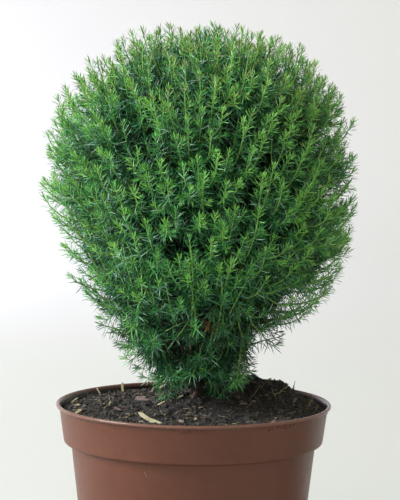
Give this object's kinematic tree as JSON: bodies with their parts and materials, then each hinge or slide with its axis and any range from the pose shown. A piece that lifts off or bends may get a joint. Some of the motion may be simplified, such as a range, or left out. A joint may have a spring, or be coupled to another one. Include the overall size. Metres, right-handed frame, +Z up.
{
  "type": "potted teddy arborvitae",
  "caption": "Dwarf globe conifer with soft needle foliage on a short trunk that forks low, planted in a round banded plastic nursery pot of soil.",
  "frame": {"origin": "centre of the pot's flat underside", "axes": "+Z up, +X to the right and +Y away from the viewer in the picture"},
  "size_m": [0.2175, 0.2201, 0.4084],
  "materials": {
    "pot_plastic": "smooth terracotta-brown moulded plastic, slightly scuffed",
    "potting_soil": "moist peat compost with bark and wood chips",
    "bark": "thin reddish-brown stringy bark, green on young stems",
    "foliage_bright": "soft fresh green needles, yellow-green at the tips",
    "foliage_deep": "soft dark blue-green needles, paler beneath"
  },
  "bodies": {
    "root": {"pot": "pot_plastic", "soil": "potting_soil", "trunk": "bark", "bough_02": "bark", "bough_03": "bark", "bough_04": "bark", "bough_05": "bark", "bough_06": "bark", "bough_07": "bark", "bough_08": "bark", "bough_09": "bark", "bough_10": "bark", "bough_11": "bark", "bough_12": "bark", "bough_13": "bark", "bough_14": "bark", "bough_15": "bark", "bough_16": "bark", "bough_17": "bark", "bough_18": "bark", "bough_19": "bark", "bough_20": "bark", "foliage_01": "foliage_bright", "foliage_02": "foliage_bright", "foliage_03": "foliage_bright", "foliage_04": "foliage_bright", "foliage_05": "foliage_bright", "foliage_06": "foliage_bright", "foliage_07": "foliage_bright", "foliage_08": "foliage_bright", "foliage_09": "foliage_bright", "foliage_10": "foliage_bright", "foliage_11": "foliage_bright", "foliage_12": "foliage_bright", "foliage_13": "foliage_bright", "foliage_14": "foliage_bright", "foliage_15": "foliage_deep", "foliage_16": "foliage_deep", "foliage_17": "foliage_deep", "foliage_18": "foliage_deep", "foliage_19": "foliage_deep", "foliage_20": "foliage_deep"}
  },
  "joints": []
}
